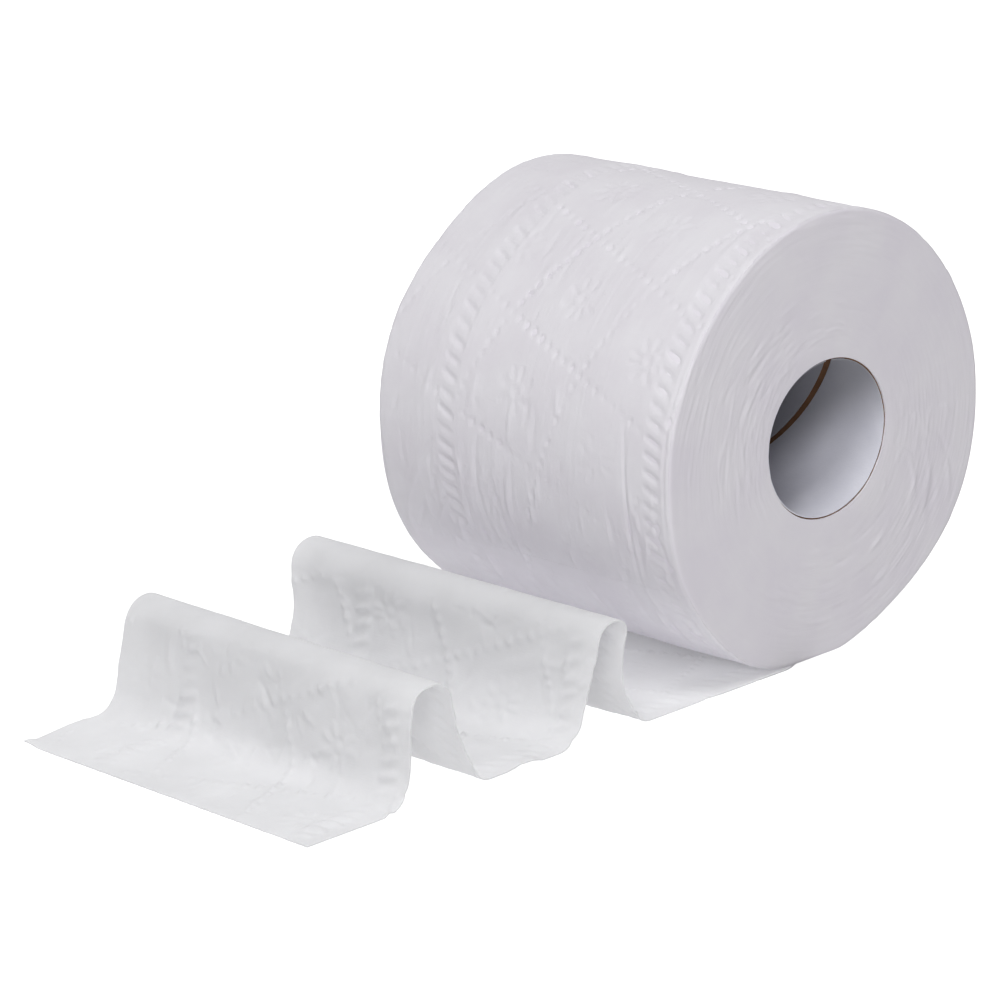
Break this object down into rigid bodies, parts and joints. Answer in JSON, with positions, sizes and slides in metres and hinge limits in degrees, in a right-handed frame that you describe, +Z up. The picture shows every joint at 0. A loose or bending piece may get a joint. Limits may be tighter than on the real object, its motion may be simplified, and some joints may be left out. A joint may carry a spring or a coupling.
{
  "type": "toilet paper roll",
  "caption": "Soft white tissue roll on a board core, lying on its side with its loose end in two standing waves.",
  "frame": {"origin": "middle of the core's bore, on the roll's axis", "axes": "+Y along the roll's axis away from the viewer's end, +Z up, loose end along -X on the floor"},
  "size_m": [0.2265, 0.096, 0.1102],
  "materials": {
    "tissue": "soft matte embossed tissue",
    "brown_board": "matte board",
    "grey_board": "matte recycled board"
  },
  "bodies": {
    "root": {"paper_roll": "tissue", "core_outer_ply": "brown_board", "core_inner_ply": "grey_board"}
  },
  "joints": []
}
